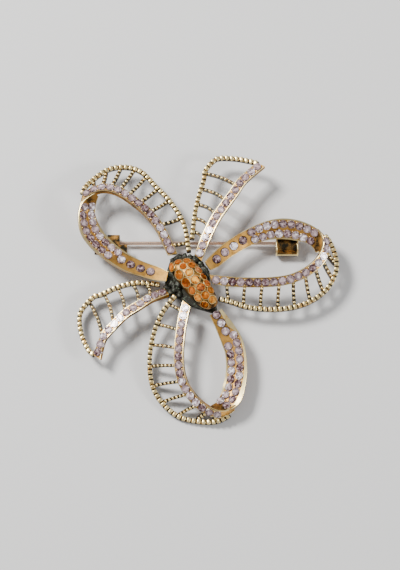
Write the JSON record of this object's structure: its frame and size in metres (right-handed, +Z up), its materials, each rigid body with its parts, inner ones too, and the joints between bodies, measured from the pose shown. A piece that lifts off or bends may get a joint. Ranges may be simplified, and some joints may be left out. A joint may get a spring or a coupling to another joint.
{
  "type": "love knot brooch",
  "caption": "Ribbon bow brooch with openwork ladder loops and tails, rows of pale stones, a knot paved with amber stones, and a hinged pin stem with an open catch behind.",
  "frame": {"origin": "middle of the outline in plan, on the surface that the brooch lies on", "axes": "+Z up out of the face, +Y towards the top tail, +X towards the right loop, along the pin stem to its point"},
  "size_m": [0.0565, 0.0586, 0.0085],
  "materials": {
    "antique_gold": "antiqued, bright on edges and dark in recesses",
    "dark_metal": "dark patina",
    "pin_metal": "polished wire",
    "pale_stone": "faceted",
    "amber_stone": "faceted"
  },
  "bodies": {
    "brooch": {"loop_left_ribbon": "antique_gold", "loop_left_stones": "pale_stone", "loop_right_ribbon": "antique_gold", "loop_right_stones": "pale_stone", "loop_bottom_ribbon": "antique_gold", "loop_bottom_stones": "pale_stone", "tail_top_ribbon": "antique_gold", "tail_top_stones": "pale_stone", "tail_left_ribbon": "antique_gold", "tail_left_stones": "pale_stone", "knot_setting": "antique_gold", "knot_stones": "amber_stone", "centre_plate": "dark_metal", "pin_hinge": "dark_metal", "pin_catch": "dark_metal"},
    "pin": {"pin_stem": "pin_metal"}
  },
  "joints": [
    {"name": "pin_swing", "type": "hinge", "parent": "brooch", "child": "pin", "pos_m": [-0.02016, 0.01065, 0.0013], "axis": [0, 1, 0], "range_deg": [0, 100]}
  ]
}
